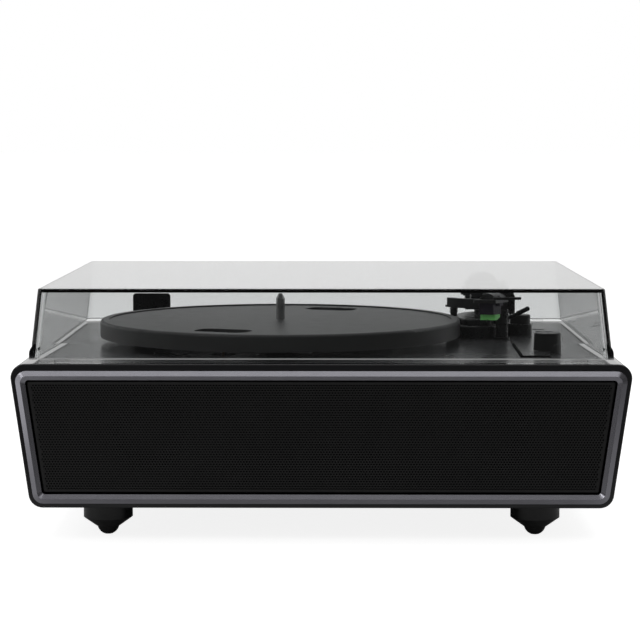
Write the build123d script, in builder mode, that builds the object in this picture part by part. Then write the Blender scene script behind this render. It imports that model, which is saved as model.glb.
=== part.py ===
from build123d import *
from math import cos, degrees, pi, radians, sin, tan
import os

os.makedirs("parts", exist_ok=True)

# Record player with built-in speakers. Millimetres, +X to the right, +Y to the back, +Z up.
# The origin is on the floor, under the middle of the whole object.

# Cabinet
cabinet_depth = 357
cabinet_height = 106.5
top_width = 458  # across the sharp upper corners of the front outline
side_slope = 8.1  # degrees between a side and upright
corner_radius = 10.5
corner_share = 0.8  # how much of an inset a corner's radius loses
corner_least = 1.5
cabinet_wall = 9
lip_width = 3.2  # gloss edge left showing round the bezel
lip_brow = 2  # more of it along the top
lip_rounding = 1.2
rear_recess = 11
cleat_width = 20
cleat_depth = 16

# Bezel, grille and baffle
rebate_depth = 3
outer_bevel = 3.6
inner_bevel = 3.2
ridge_proud = 1.6
bevel_drop = 0.6
grille_gap = 1.3
grille_drop = 1.6
grille_sheet = 1
grille_edge_radius = 1.2
baffle_drop = 12
baffle_thickness = 9

# Speakers
speaker_side_margin = 93.5
speaker_frame_radius = 37
speaker_flange = 3
speaker_hole_radius = 34
basket_depth = 20
basket_sheet = 1.2
basket_foot_radius = 17
surround_radius = 31
surround_roll = 3
cone_depth = 11
cone_sheet = 0.8
dust_cap_radius = 10
magnet_radius = 25
magnet_thickness = 12
magnet_plate = 3

# Fasteners
screw_radius = 1.5
screw_head_radius = 3
screw_head_height = 1.8
screw_length = 9

# Deck plate
deck_width = 421
deck_depth = 338.5
deck_thickness = 5
deck_corner = 5
deck_front_margin = 7
deck_ledge = 11

# Feet
foot_height = 27.2
foot_side_margin = 52.5
foot_front_margin = 45
foot_rear_margin = 45
foot_radius = 18.5
foot_drum = 14
foot_edge = 1.5
foot_neck_radius = 9.2
foot_cone_end = 20.8
foot_tip_radius = 8.4
foot_tip_flat = 0.6
foot_socket = 3
foot_bolt_radius = 2.5
foot_bolt_head_radius = 4.5
foot_bolt_head = 2.5
foot_bolt_grip = 5

# Platter, spindle and bearing
platter_x = -34
platter_inset = 168  # from the cabinet's front to the spindle
platter_radius = 145
platter_top = 18.2  # above the deck
platter_bottom = 6
platter_edge = 2.4
platter_lip_width = 7
platter_lip_rise = 1
platter_web = 3.4
platter_wall = 5
belt_rim_radius = 90
belt_rim_wall = 4
platter_hub_radius = 13
platter_hub_foot = 4.4
slot_distance = 108
slot_length = 43
slot_width = 25
slot_corner = 8
slot_angle = 67.7
spindle_radius = 3.57
spindle_shaft_radius = 4  # below the platter's top
spindle_rise = 21
spindle_nose = 4
spindle_nose_radius = 1.6
spindle_shaft = 34  # below the deck's top
bush_radius = 9
bush_flange_radius = 15
bush_flange = 2
bush_length = 38
bush_nut_radius = 14
bush_nut = 4

# Belt drive
pulley_radius = 6
pulley_flange_radius = 7.2
pulley_flange = 0.8
pulley_bottom = 6.2
pulley_height = 7.4
motor_shaft_radius = 1
motor_radius = 18.5
motor_length = 24
motor_cap = 2
motor_nose_radius = 6
motor_nose = 3
motor_hole_radius = 10
belt_width = 4
belt_thickness = 0.7
belt_bottom = 7.9
bracket_length = 62
bracket_width = 44
bracket_sheet = 2
bracket_drop = 7
bracket_corner = 6
grommet_radius = 5
motor_screw_spread = 52

# Tonearm
pivot_across = 171  # from the spindle
pivot_behind = 82
pivot_height = 34  # above the deck
arm_tilt = 2.4  # degrees that the parked arm points up
tube_radius = 4.25
tube_bore = 3.2
tube_front = 170
collar_wall = 1.4
collar_length = 14
collar_grip = 6  # how far the head's collar covers the tube
stylus_side = -13.2
stylus_reach = 202
head_angle = 24
head_front = 6.5
head_back = 31
head_half_width = 9
head_tail_half_width = 7
head_top = 1
head_plate = 2.5
head_corner = 3
fairing_start = 3
fairing_radius = 7
fairing_rise = 4.4
cartridge_slot_spread = 12.7
cartridge_slot_length = 9
cartridge_slot_width = 2.8
cartridge_slot_place = 9.5
lift_sheet = 2
lift_width = 3.2
lift_reach = 22
lift_sweep = 11
lift_root = 2
lift_bow = 2.5
cartridge_width = 11.4
cartridge_front = 1
cartridge_back = 17.5
cartridge_flange = 2.2
cartridge_flange_front = 5
cartridge_flange_half = 8.6
cartridge_bottom = 10.2
cartridge_edge = 1.2
holder_width = 11.6
holder_front = 3
holder_back = 14
holder_bottom = 14.4
holder_nose = 2.4
stylus_tip = 17
cantilever_radius = 0.3
tip_radius = 0.45
tip_length = 1.2
tip_point_radius = 0.1
mount_screw_radius = 1.1
mount_screw_head_radius = 2.1
mount_screw_head = 1.4
lead_radius = 0.45
lead_spread = 2.1
lead_gather_share = 0.45
lead_low = 6.6
lead_high = 2.9
lead_bend = 1.4
lead_pin = 3
lead_run = 7.5

# Bearing yoke
yoke_half_width = 16.8
yoke_prong = 2.8
yoke_depth = 13
yoke_top = 41.5
yoke_top_radius = 6
yoke_foot = 19.8
yoke_base = 3.4
post_radius = 9
post_top = 19.4
post_tail = 7  # below the deck plate
post_nut_radius = 13
post_nut = 4
yoke_shaft_radius = 3
yoke_shaft_length = 16
running_gap = 0.05
pivot_screw_radius = 2
pivot_nut_radius = 3.3
pivot_nut = 1.8
barrel_half_width = 12
barrel_radius = 6.6
barrel_depth = 14
barrel_corner = 4
barrel_socket = 3
stub_radius = 4
stub_length = 52
weight_radius = 14
weight_length = 22
weight_front = 26
weight_edge = 1.5
weight_groove = 1.5
weight_groove_depth = 1
dial_radius = 12.6
dial_length = 5
dial_grips = 24
dial_grip_radius = 0.7

# Arm base
base_front_left = 9  # of the pivot
base_front_ahead = 47
base_front_radius = 18
base_rear_radius = 26
base_height = 10.7
base_top = 16
base_shoulder = 5
base_edge = 1.2
piston_radius = 2.8
piston_foot = 3
piston_angle = 50
piston_lobe_radius = 6.4
platform_radius = 36
platform_width = 6
platform_top = 30.9
platform_height = 7.8
platform_start = 57
platform_end = -8
platform_flange = 1.5
platform_flange_reach = 2.4
rib_radius = 3.5
rib_step = 1.4
rib_height = 0.7
rib_count = 3

# Arm rest and its clip
rest_right = 9.5  # of the pivot
rest_ahead = 64
rest_radius = 5
rest_foot_radius = 6.6
rest_foot = 2
rest_depth = 8
rest_neck = 24.5
rest_jaw_reach = 16  # left of the column
rest_jaw_top = 29
rest_inner_reach = 3.8
rest_outer_reach = 3.9  # right of the column
rest_top = 38
clip_left = 0.9  # of the column's axis
clip_height = 40.3
clip_hub_radius = 2
rest_chamfer = 4
clip_ear = 2
clip_pin_radius = 1
clip_reach = 10.4
clip_thickness = 2.2
clip_droop = 23

# Cue lever
lever_height = 15.4
lever_boss_radius = 4.2
lever_boss_start = 2  # right of the pivot
lever_boss_length = 10.6
lever_hub_length = 3.4
lever_pin_radius = 1.5
lever_pin_length = 8
lever_rod_radius = 1.3
lever_tip_right = 29.6  # of the pivot
lever_tip_ahead = 74
lever_tip_height = 26.2
lever_grip_share = 0.45  # of the lever that the thicker grip covers
lever_grip_radius = 1.9
lever_hub_radius = 3.1

# Anti-skate dial
skate_right = 27.4  # of the pivot
skate_ahead = 29
skate_base_radius = 9.8
skate_base_height = 10
skate_dial_radius = 8.4
skate_dial_height = 7.3
skate_shaft_radius = 2.4
skate_shaft_length = 7
skate_edge = 1
skate_mark = 1

# Volume knob and its control
knob_side_margin = 35.5  # in from the deck plate's edge
knob_inset = 100
knob_radius = 10.7
knob_top_radius = 10.2
knob_height = 13.4
knob_lift = 0.5
knob_edge = 0.8
knob_groove = 1
knob_groove_depth = 0.6
knob_recess = 2.9
knob_recess_radius = 8
control_shaft_radius = 3
control_shaft_length = 12
control_bush_radius = 4.5
control_size = 17
control_depth = 9
control_nut_radius = 7
control_nut = 2

# Dust cover
lid_height = 54.5  # its top above the deck
lid_lift = 2.6
lid_sheet = 3
lid_top_width = 416
lid_bottom_width = 427.9
lid_front_top = 8.2
lid_front_bottom = 5.6
lid_rear = 347
lid_corner = 4
lid_edge = 1.2
grip_length = 47
grip_side_length = 30
grip_height = 12
grip_proud = 0.3
grip_corner = 6
grip_round = 8
bumper_length = 12
bumper_inset = 24

# Dust-cover hinges
hinge_offset = 154
hinge_leaf_width = 33.4
hinge_leaf_sheet = 2.2
hinge_leaf_top = 25.5
hinge_leaf_corner = 3
hinge_axis_behind = 6  # behind the cover's rear wall
hinge_axis_height = 5.4
hinge_knuckle_radius = 3.4
hinge_pin_radius = 1.5
hinge_leaf_knuckle = 15
hinge_base_length = 32.6
hinge_base_foot = 1.4

# Electronics and rear sockets
board_width = 120
board_depth = 70
board_sheet = 1.6
board_standoff = 6
board_post_radius = 3.2
board_can_radius = 6.5
board_can_height = 18
board_x = 60
board_gap = 1  # in front of the sockets' bodies
sink_length = 44
sink_height = 22
sink_fin = 1.6
sink_fins = 5
sink_depth = 16
socket_height = 47.5  # above the cabinet's underside
inlet_x = -150
inlet_radius = 5.6
inlet_bore = 2.8
inlet_pin = 1
inlet_length = 11
inlet_body = 13
inlet_flange_radius = 7.4
inlet_flange = 1.6
jack_x = 40
jack_spread = 20
jack_radius = 4.2
jack_bore = 1.7
jack_insulator = 3.2
jack_length = 8
jack_plate_width = 42
jack_plate_height = 18
jack_plate = 2
jack_body_depth = 14
switch_x = -90
switch_width = 15
switch_height = 21
switch_rim = 2
switch_rim_proud = 1.6
switch_wall = 1.2
switch_depth = 16
rocker_angle = 9
rocker_axis_depth = 3
rocker_face = 5.4
rocker_play = 0.9
rocker_axle_radius = 2.5
rear_panel_thickness = 4
rear_screw_margin = 12.2  # in from the shell's inner face
rear_screw_height = 30
inlet_body_radius = 6.8
jack_body_height = 14
board_cans = 3
chip_size = 14
chip_height = 3

overrun = 2
body_gap = 0.3
front_direction = 270  # degrees, from +X round to the front

deck_z = foot_height + cabinet_height
front_y = (ridge_proud - cabinet_depth) / 2
rear_y = front_y + cabinet_depth
body_middle_z = foot_height + cabinet_height / 2
foot_tip_top = foot_height - foot_cone_end
bush_foot = deck_z - bush_length
spindle_top = deck_z + platter_top + spindle_rise


back = (0, 1, 0)


def save(piece, name):
    """Labels a finished piece and writes it as its own STEP file."""
    piece.part.label = name
    export_step(piece.part, f"parts/{name}.step")


def upright(y):
    """An upright plane that faces the front, at distance y along the depth."""
    return Plane(origin=(0, y, 0), x_dir=(1, 0, 0), z_dir=(0, -1, 0))


def front_outline(inset, y, brow=0):
    """The cabinet's front outline drawn in by inset, by brow more at the top, as a sketch at depth y."""
    lean = tan(radians(side_slope))
    shift = inset / cos(radians(side_slope))
    half_top = top_width / 2 - (inset + brow) * lean - shift
    half_bottom = top_width / 2 - (cabinet_height - inset) * lean - shift
    low = foot_height + inset
    high = deck_z - inset - brow
    with BuildSketch(upright(y)) as outline:
        Polygon((-half_bottom, low), (half_bottom, low), (half_top, high), (-half_top, high))
        fillet(outline.vertices(), max(corner_radius - corner_share * inset, corner_least))
    return outline.sketch


def standing(x, y):
    """An upright plane through a vertical axis at x, y, for the half profile of a turned piece."""
    return Plane(origin=(x, y, 0), x_dir=(1, 0, 0), z_dir=(0, -1, 0))


def upright_axis(x, y):
    return Axis((x, y, 0), (0, 0, 1))


def across_x(x, y, z):
    """A plane square to the width, with its origin at x, y, z."""
    return Plane(origin=(x, y, z), x_dir=(0, 1, 0), z_dir=(1, 0, 0))


def profile(plane, *points):
    """A closed straight-sided profile through the points, as a sketch on the plane."""
    with BuildSketch(plane) as outline:
        Polygon(*points)
    return outline.sketch


def side_name(side):
    return "left" if side < 0 else "right"


def half_width(height):
    """Half of the cabinet's outer width at a height above its underside."""
    return top_width / 2 - (cabinet_height - height) * tan(radians(side_slope))


# Cabinet shell: one wrap of top, sides and underside, open at the front and the rear
deck_middle_y = front_y + deck_front_margin + deck_depth / 2
rear_panel_y = rear_y - rear_recess
cleat_y = rear_panel_y - rear_panel_thickness - cleat_depth
rear_screw_side = (half_width(cabinet_height / 2 - rear_screw_height)
                   - cabinet_wall / cos(radians(side_slope)) - rear_screw_margin)
foot_front_y = front_y + foot_front_margin
foot_rear_y = rear_y - foot_rear_margin
foot_middle_y = (foot_front_y + foot_rear_y) / 2
foot_spread = foot_rear_y - foot_front_y
foot_offset = half_width(0) - foot_side_margin

with BuildPart() as cabinet_shell:
    extrude(front_outline(0, front_y), cabinet_depth, dir=back)
    fillet(cabinet_shell.faces().sort_by(Axis.Y)[0].edges(), lip_rounding)
    extrude(front_outline(cabinet_wall, front_y - overrun), cabinet_depth + 2 * overrun,
            dir=back, mode=Mode.SUBTRACT)
    extrude(front_outline(lip_width, front_y - overrun, lip_brow), overrun + rebate_depth,
            dir=back, mode=Mode.SUBTRACT)
    with BuildSketch(Plane.XY.offset(deck_z)):
        with Locations((0, deck_middle_y)):
            RectangleRounded(deck_width, deck_depth, deck_corner)
    extrude(amount=-deck_thickness, mode=Mode.SUBTRACT)
    with BuildSketch(Plane.XY.offset(deck_z - deck_thickness)):
        with Locations((0, deck_middle_y)):
            RectangleRounded(deck_width - 2 * deck_ledge, deck_depth - 2 * deck_ledge, deck_corner)
    extrude(amount=-cabinet_wall, mode=Mode.SUBTRACT)
    extrude(front_outline(cabinet_wall, cleat_y), cleat_depth, dir=back)
    with BuildSketch(upright(cleat_y)):
        with Locations((0, body_middle_z)):
            Rectangle(2 * rear_screw_side - cleat_width, cabinet_height - 2 * cabinet_wall)
    extrude(amount=-cleat_depth, mode=Mode.SUBTRACT)
    with BuildSketch(upright(rear_panel_y)):
        with Locations((0, body_middle_z)):
            with GridLocations(2 * rear_screw_side, 2 * rear_screw_height, 2, 2):
                Circle(screw_radius)
    extrude(amount=screw_length, mode=Mode.SUBTRACT)
    with BuildSketch(Plane.XY.offset(foot_height)):
        with Locations((0, foot_middle_y)):
            with GridLocations(2 * foot_offset, foot_spread, 2, 2):
                Circle(foot_bolt_radius)
    extrude(amount=cabinet_wall, mode=Mode.SUBTRACT)
save(cabinet_shell, "cabinet_shell")

# Deck plate, let into the top of the shell, with the holes for what stands on it
platter_y = front_y + platter_inset
pivot_x = platter_x + pivot_across
pivot_y = platter_y + pivot_behind
pulley_angle = radians(slot_angle)
pulley_x = platter_x - slot_distance * cos(pulley_angle)
pulley_y = platter_y - slot_distance * sin(pulley_angle)
knob_x = deck_width / 2 - knob_side_margin
knob_y = front_y + knob_inset
deck_under = deck_z - deck_thickness

with BuildPart() as deck_plate:
    with BuildSketch(Plane.XY.offset(deck_under)):
        with Locations((0, deck_middle_y)):
            RectangleRounded(deck_width, deck_depth, deck_corner)
        with Locations((platter_x, platter_y)):
            Circle(bush_radius, mode=Mode.SUBTRACT)
        with Locations((pulley_x, pulley_y)):
            Circle(motor_hole_radius, mode=Mode.SUBTRACT)
            with GridLocations(motor_screw_spread, 0, 2, 1):
                Circle(screw_radius, mode=Mode.SUBTRACT)
        with Locations((pivot_x, pivot_y)):
            Circle(post_radius, mode=Mode.SUBTRACT)
        with Locations((knob_x, knob_y)):
            Circle(control_bush_radius, mode=Mode.SUBTRACT)
    extrude(amount=deck_thickness)
save(deck_plate, "deck_plate")

# Bezel: a ring with a raised ridge between an outer and an inner bevel
ridge_inset = lip_width + outer_bevel
bezel_inset = ridge_inset + inner_bevel
ridge_y = front_y - ridge_proud

with BuildPart() as front_bezel:
    extrude(front_outline(lip_width, front_y, lip_brow), rebate_depth, dir=back)
    loft([front_outline(lip_width, front_y, lip_brow).face(),
          front_outline(ridge_inset, ridge_y, lip_brow).face()])
    loft([front_outline(ridge_inset, ridge_y, lip_brow).face(),
          front_outline(bezel_inset, front_y + bevel_drop, lip_brow).face()], mode=Mode.SUBTRACT)
    extrude(front_outline(bezel_inset, front_y, lip_brow), rebate_depth + overrun, dir=back,
            mode=Mode.SUBTRACT)
save(front_bezel, "front_bezel")

# Speaker grille: a formed sheet whose turned edge reaches back to the baffle
grille_inset = bezel_inset + grille_gap
grille_y = front_y + grille_drop
baffle_y = front_y + baffle_drop

with BuildPart() as speaker_grille:
    extrude(front_outline(grille_inset, grille_y, lip_brow), baffle_y - grille_y, dir=back)
    fillet(speaker_grille.faces().sort_by(Axis.Y)[0].edges(), grille_edge_radius)
    extrude(front_outline(grille_inset + grille_sheet, grille_y + grille_sheet, lip_brow),
            baffle_y - grille_y, dir=back, mode=Mode.SUBTRACT)
save(speaker_grille, "speaker_grille")

# Baffle, with a round hole for each speaker
speaker_offset = half_width(cabinet_height / 2) - speaker_side_margin

with BuildPart() as speaker_baffle:
    extrude(front_outline(cabinet_wall, baffle_y), baffle_thickness, dir=back)
    with BuildSketch(upright(baffle_y)):
        with Locations((-speaker_offset, body_middle_z), (speaker_offset, body_middle_z)):
            Circle(speaker_hole_radius)
    extrude(amount=-baffle_thickness, mode=Mode.SUBTRACT)
save(speaker_baffle, "speaker_baffle")

# Speakers: a pressed basket, a coned diaphragm in its roll, and a magnet behind
for side in (-1, 1):
    speaker_x = side * speaker_offset
    axis = Axis((speaker_x, baffle_y, body_middle_z), back)
    across = Plane(origin=(speaker_x, baffle_y, body_middle_z), x_dir=(1, 0, 0), z_dir=(0, 0, 1))
    basket_front_radius = speaker_hole_radius - body_gap
    name = side_name(side)

    with BuildPart() as speaker_frame:
        revolve(profile(across,
                        (surround_radius, -speaker_flange), (speaker_frame_radius, -speaker_flange),
                        (speaker_frame_radius, 0), (basket_front_radius, 0),
                        (basket_foot_radius + basket_sheet, basket_depth),
                        (0, basket_depth), (0, basket_depth - basket_sheet),
                        (basket_foot_radius, basket_depth - basket_sheet),
                        (surround_radius, 0)),
                axis=axis)
    save(speaker_frame, f"{name}_speaker_frame")

    with BuildPart() as speaker_cone:
        with BuildSketch(across):
            with BuildLine():
                roll_inner = surround_radius - 2 * surround_roll
                cone_neck = cone_depth - speaker_flange
                l1 = ThreePointArc((surround_radius, -speaker_flange),
                                   (surround_radius - surround_roll, -speaker_flange - surround_roll),
                                   (roll_inner, -speaker_flange))
                l2 = Line(l1 @ 1, (dust_cap_radius, cone_neck))
                l3 = ThreePointArc(l2 @ 1, (dust_cap_radius * sin(pi / 4), cone_neck - dust_cap_radius / 4),
                                   (0, cone_neck - dust_cap_radius / 3))
                l4 = Line(l3 @ 1, (0, cone_neck + cone_sheet))
                l5 = Line(l4 @ 1, (dust_cap_radius, cone_neck + cone_sheet))
                l6 = Line(l5 @ 1, (roll_inner, cone_sheet - speaker_flange))
                l7 = ThreePointArc(l6 @ 1,
                                   (surround_radius - surround_roll,
                                    -speaker_flange - surround_roll + cone_sheet),
                                   (surround_radius - cone_sheet, cone_sheet - speaker_flange))
                l8 = Line(l7 @ 1, (surround_radius, cone_sheet - speaker_flange))
                l9 = Line(l8 @ 1, l1 @ 0)
            make_face()
        revolve(axis=axis)
    save(speaker_cone, f"{name}_speaker_cone")

    with BuildPart() as speaker_magnet:
        with BuildSketch(upright(baffle_y + basket_depth)):
            with Locations((speaker_x, body_middle_z)):
                Circle(magnet_radius - basket_sheet)
        extrude(amount=-magnet_plate)
        with BuildSketch(upright(baffle_y + basket_depth + magnet_plate)):
            with Locations((speaker_x, body_middle_z)):
                Circle(magnet_radius)
        extrude(amount=-magnet_thickness)
        with BuildSketch(upright(baffle_y + basket_depth + magnet_plate + magnet_thickness)):
            with Locations((speaker_x, body_middle_z)):
                Circle(magnet_radius - basket_sheet)
        extrude(amount=-magnet_plate)
    save(speaker_magnet, f"{name}_speaker_magnet")

# Rear panel, set into the back of the shell, with the holes for its sockets and switch
socket_z = foot_height + socket_height

with BuildPart() as rear_panel:
    extrude(front_outline(cabinet_wall, rear_panel_y - rear_panel_thickness), rear_panel_thickness,
            dir=back)
    with BuildSketch(upright(rear_panel_y)):
        with Locations((inlet_x, socket_z)):
            Circle(inlet_radius)
        with Locations((jack_x, socket_z)):
            with GridLocations(jack_spread, 0, 2, 1):
                Circle(jack_radius)
        with Locations((switch_x, socket_z)):
            Rectangle(switch_width, switch_height)
        with Locations((0, body_middle_z)):
            with GridLocations(2 * rear_screw_side, 2 * rear_screw_height, 2, 2):
                Circle(screw_radius)
    extrude(amount=rear_panel_thickness, mode=Mode.SUBTRACT)
save(rear_panel, "rear_panel")

with BuildPart() as rear_panel_screws:
    with BuildSketch(upright(rear_panel_y)):
        with Locations((0, body_middle_z)):
            with GridLocations(2 * rear_screw_side, 2 * rear_screw_height, 2, 2):
                Circle(screw_head_radius)
    extrude(amount=-screw_head_height)
    with BuildSketch(upright(rear_panel_y)):
        with Locations((0, body_middle_z)):
            with GridLocations(2 * rear_screw_side, 2 * rear_screw_height, 2, 2):
                Circle(screw_radius)
    extrude(amount=screw_length)
save(rear_panel_screws, "rear_panel_screws")

# Feet: a turned drum and cone with a rubber ball let into its underside
foot_profile = (
    (0, foot_tip_top + foot_socket), (foot_bolt_head_radius, foot_tip_top + foot_socket),
    (foot_bolt_head_radius, foot_tip_top), (foot_neck_radius, foot_tip_top),
    (foot_radius, foot_height - foot_drum), (foot_radius, foot_height), (0, foot_height),
)
for end, foot_y in (("front", foot_front_y), ("rear", foot_rear_y)):
    for side in (-1, 1):
        with BuildPart() as foot:
            revolve(profile(standing(side * foot_offset, foot_y), *foot_profile),
                    axis=upright_axis(side * foot_offset, foot_y))
            fillet(foot.edges().filter_by(GeomType.CIRCLE).group_by(Axis.Z)[-1].sort_by(SortBy.RADIUS)[-1],
                   foot_edge)
            with BuildSketch(Plane.XY.offset(foot_height)):
                with Locations((side * foot_offset, foot_y)):
                    Circle(foot_bolt_radius)
            extrude(amount=-foot_bolt_grip, mode=Mode.SUBTRACT)
        save(foot, f"{end}_{side_name(side)}_foot")

with BuildPart() as foot_tips:
    with Locations((0, foot_middle_y, foot_tip_radius - foot_tip_flat)):
        with GridLocations(2 * foot_offset, foot_spread, 2, 2):
            Sphere(foot_tip_radius)
    split(bisect_by=Plane.XY, keep=Keep.TOP)
    split(bisect_by=Plane.XY.offset(foot_tip_top), keep=Keep.BOTTOM)
    with BuildSketch(Plane.XY.offset(foot_tip_top)):
        with Locations((0, foot_middle_y)):
            with GridLocations(2 * foot_offset, foot_spread, 2, 2):
                Circle(foot_bolt_head_radius)
    extrude(amount=foot_socket)
save(foot_tips, "foot_tips")

with BuildPart() as foot_screws:
    with BuildSketch(Plane.XY.offset(foot_height + cabinet_wall)):
        with Locations((0, foot_middle_y)):
            with GridLocations(2 * foot_offset, foot_spread, 2, 2):
                Circle(foot_bolt_head_radius)
    extrude(amount=foot_bolt_head)
    with BuildSketch(Plane.XY.offset(foot_height + cabinet_wall)):
        with Locations((0, foot_middle_y)):
            with GridLocations(2 * foot_offset, foot_spread, 2, 2):
                Circle(foot_bolt_radius)
    extrude(amount=-cabinet_wall - foot_bolt_grip)
save(foot_screws, "foot_screws")

# Platter with its lip ring, belt rim and two finger slots
web_under = deck_z + platter_top - platter_web
rim_foot = deck_z + platter_hub_foot
lip_top = deck_z + platter_top + platter_lip_rise

with BuildPart() as platter:
    revolve(profile(standing(platter_x, platter_y),
                    (spindle_shaft_radius, rim_foot), (platter_hub_radius, rim_foot),
                    (platter_hub_radius, web_under), (belt_rim_radius - belt_rim_wall, web_under),
                    (belt_rim_radius - belt_rim_wall, rim_foot), (belt_rim_radius, rim_foot),
                    (belt_rim_radius, web_under), (platter_radius - platter_wall, web_under),
                    (platter_radius - platter_wall, deck_z + platter_bottom),
                    (platter_radius, deck_z + platter_bottom), (platter_radius, lip_top),
                    (platter_radius - platter_lip_width, lip_top),
                    (platter_radius - platter_lip_width, deck_z + platter_top),
                    (spindle_shaft_radius, deck_z + platter_top)),
            axis=upright_axis(platter_x, platter_y))
    fillet(platter.edges().filter_by(GeomType.CIRCLE).group_by(Axis.Z)[-1].sort_by(SortBy.RADIUS)[-1],
           platter_edge)
    with BuildSketch(Plane.XY.offset(web_under)):
        with Locations((platter_x, platter_y)):
            with PolarLocations(slot_distance, 2, slot_angle):
                RectangleRounded(slot_width, slot_length, slot_corner)
    extrude(amount=platter_web, mode=Mode.SUBTRACT)
save(platter, "platter")

with BuildPart() as spindle:
    revolve(profile(standing(platter_x, platter_y),
                    (0, deck_z - spindle_shaft), (spindle_shaft_radius, deck_z - spindle_shaft),
                    (spindle_shaft_radius, deck_z + platter_top), (spindle_radius, deck_z + platter_top),
                    (spindle_radius, spindle_top - spindle_nose), (spindle_nose_radius, spindle_top),
                    (0, spindle_top)),
            axis=upright_axis(platter_x, platter_y))
save(spindle, "spindle")

# Bearing bush: flange above the deck plate, nut below it, closed at its foot
with BuildPart() as bearing_bush:
    revolve(profile(standing(platter_x, platter_y),
                    (0, bush_foot), (bush_radius, bush_foot), (bush_radius, deck_z),
                    (bush_flange_radius, deck_z), (bush_flange_radius, deck_z + bush_flange),
                    (spindle_shaft_radius + running_gap, deck_z + bush_flange),
                    (spindle_shaft_radius + running_gap, deck_z - spindle_shaft - body_gap),
                    (0, deck_z - spindle_shaft - body_gap)),
            axis=upright_axis(platter_x, platter_y))
    with BuildSketch(Plane.XY.offset(deck_under)):
        with Locations((platter_x, platter_y)):
            RegularPolygon(bush_nut_radius, 6)
            Circle(bush_radius, mode=Mode.SUBTRACT)
    extrude(amount=-bush_nut)
save(bearing_bush, "bearing_bush")

# Motor, hung below the deck plate on a bracket with two stand-offs
bracket_top = deck_under - bracket_drop
bracket_under = bracket_top - bracket_sheet
pulley_foot = deck_z + pulley_bottom
pulley_crown = pulley_foot + pulley_height

with BuildPart() as motor_bracket:
    with BuildSketch(Plane.XY.offset(bracket_under)):
        with Locations((pulley_x, pulley_y)):
            RectangleRounded(bracket_length, bracket_width, bracket_corner)
    extrude(amount=bracket_sheet)
    with BuildSketch(Plane.XY.offset(bracket_top)):
        with Locations((pulley_x, pulley_y)):
            with GridLocations(motor_screw_spread, 0, 2, 1):
                Circle(grommet_radius)
    extrude(amount=bracket_drop)
    with BuildSketch(Plane.XY.offset(bracket_under)):
        with Locations((pulley_x, pulley_y)):
            Circle(motor_nose_radius)
            with GridLocations(motor_screw_spread, 0, 2, 1):
                Circle(screw_radius)
    extrude(amount=bracket_sheet + bracket_drop, mode=Mode.SUBTRACT)
save(motor_bracket, "motor_bracket")

with BuildPart() as motor_screws:
    with BuildSketch(Plane.XY.offset(bracket_under)):
        with Locations((pulley_x, pulley_y)):
            with GridLocations(motor_screw_spread, 0, 2, 1):
                Circle(screw_head_radius)
    extrude(amount=-screw_head_height)
    with BuildSketch(Plane.XY.offset(bracket_under)):
        with Locations((pulley_x, pulley_y)):
            with GridLocations(motor_screw_spread, 0, 2, 1):
                Circle(screw_radius)
    extrude(amount=bracket_sheet + bracket_drop + deck_thickness)
save(motor_screws, "motor_screws")

with BuildPart() as drive_motor:
    revolve(profile(standing(pulley_x, pulley_y),
                    (motor_shaft_radius + running_gap, bracket_under - motor_cap),
                    (motor_shaft_radius + running_gap, bracket_under + motor_nose),
                    (motor_nose_radius, bracket_under + motor_nose),
                    (motor_nose_radius, bracket_under), (motor_radius, bracket_under),
                    (motor_radius, bracket_under - motor_length + motor_cap),
                    (motor_radius - motor_cap, bracket_under - motor_length),
                    (0, bracket_under - motor_length), (0, bracket_under - motor_cap)),
            axis=upright_axis(pulley_x, pulley_y))
save(drive_motor, "drive_motor")

with BuildPart() as motor_pulley:
    revolve(profile(standing(pulley_x, pulley_y),
                    (0, bracket_under - motor_cap + body_gap),
                    (motor_shaft_radius, bracket_under - motor_cap + body_gap),
                    (motor_shaft_radius, pulley_foot), (pulley_flange_radius, pulley_foot),
                    (pulley_flange_radius, pulley_foot + pulley_flange),
                    (pulley_radius, pulley_foot + pulley_flange),
                    (pulley_radius, pulley_crown - pulley_flange),
                    (pulley_flange_radius, pulley_crown - pulley_flange),
                    (pulley_flange_radius, pulley_crown), (0, pulley_crown)),
            axis=upright_axis(pulley_x, pulley_y))
save(motor_pulley, "motor_pulley")

# Belt, stretched round the pulley and the platter's rim
with BuildPart() as drive_belt:
    with BuildSketch(Plane.XY.offset(deck_z + belt_bottom)):
        with Locations((pulley_x, pulley_y)):
            Circle(pulley_radius + body_gap + belt_thickness)
        with Locations((platter_x, platter_y)):
            Circle(belt_rim_radius + body_gap + belt_thickness)
        make_hull()
        offset(amount=-belt_thickness, mode=Mode.SUBTRACT)
    extrude(amount=belt_width)
save(drive_belt, "drive_belt")

# Arm base: one foot for the pivot post, the cue lift's piston and the cue lever
base_front_x = pivot_x - base_front_left
base_front_y = pivot_y - base_front_ahead
piston_direction = radians(front_direction - piston_angle)
piston_x = pivot_x + platform_radius * cos(piston_direction)
piston_y = pivot_y + platform_radius * sin(piston_direction)
lever_z = deck_z + lever_height
lever_boss_left = pivot_x + lever_boss_start
lever_boss_right = lever_boss_left + lever_boss_length

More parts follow.
